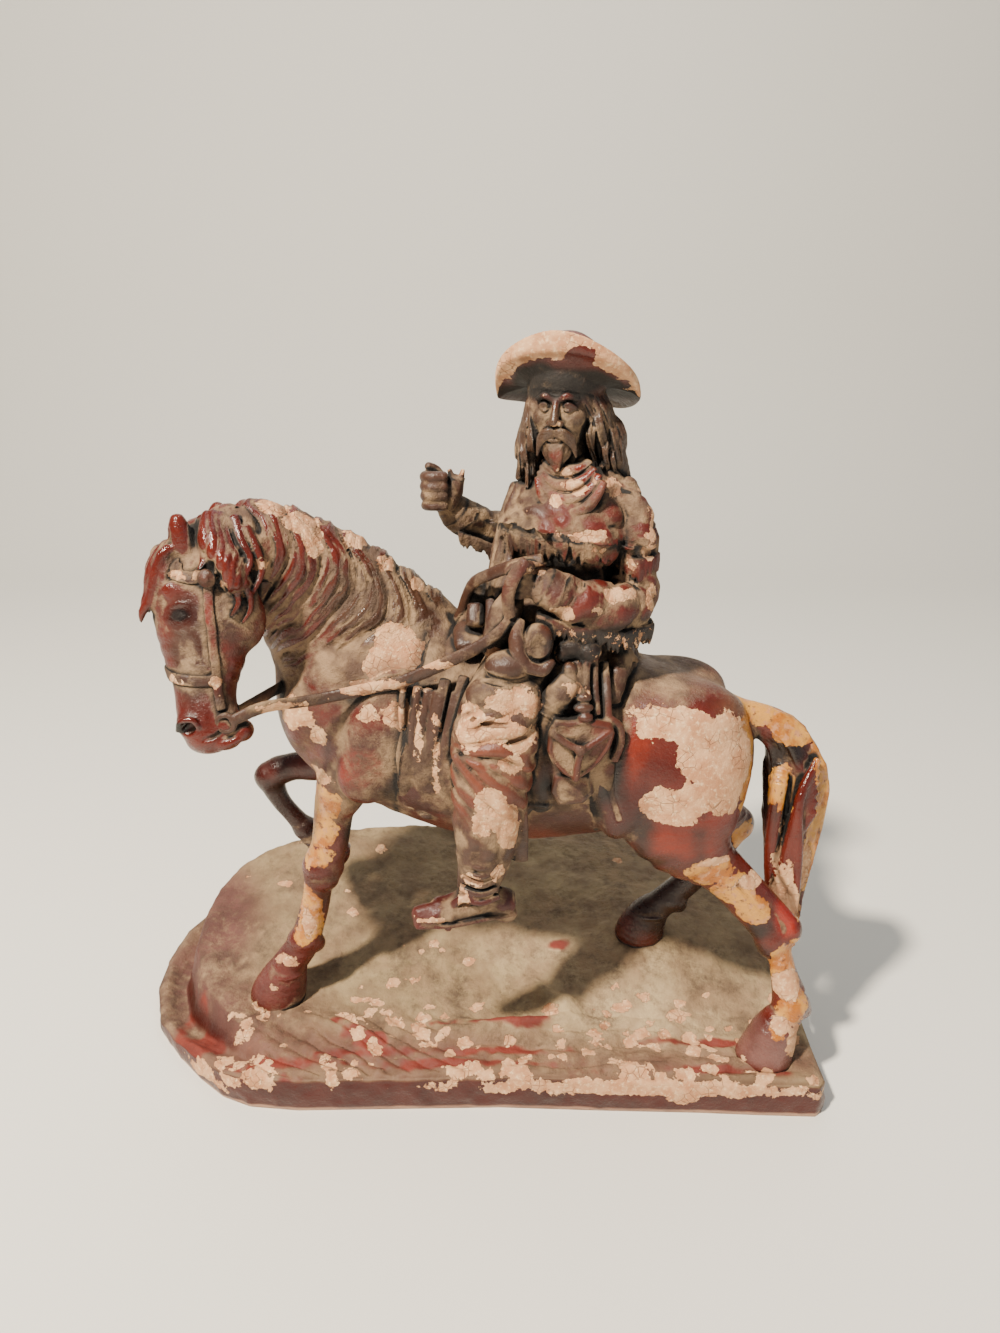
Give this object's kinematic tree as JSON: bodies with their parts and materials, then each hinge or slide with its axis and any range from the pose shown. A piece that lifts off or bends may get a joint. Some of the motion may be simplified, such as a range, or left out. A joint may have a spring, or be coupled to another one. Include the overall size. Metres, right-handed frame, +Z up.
{
  "type": "painted pottery horse and rider statuette",
  "caption": "Cast and painted figure of a mounted rider in a wide-brimmed hat on a walking horse, on a rocky base, with worn and flaking paint.",
  "frame": {"origin": "on the flat underside of the base, near its middle", "axes": "+Z up; the horse walks towards -X; the rider's face and chest turn to -Y"},
  "size_m": [0.4339, 0.2452, 0.4424],
  "materials": {
    "painted_pottery": "cast pottery or plaster under old oil paint: oxblood red with a worn gloss, ochre on tail and legs, olive-grey dust in the hollows, and flakes that show the bare pale pink body"
  },
  "bodies": {
    "root": {"horse_and_rider": "painted_pottery"}
  },
  "joints": []
}
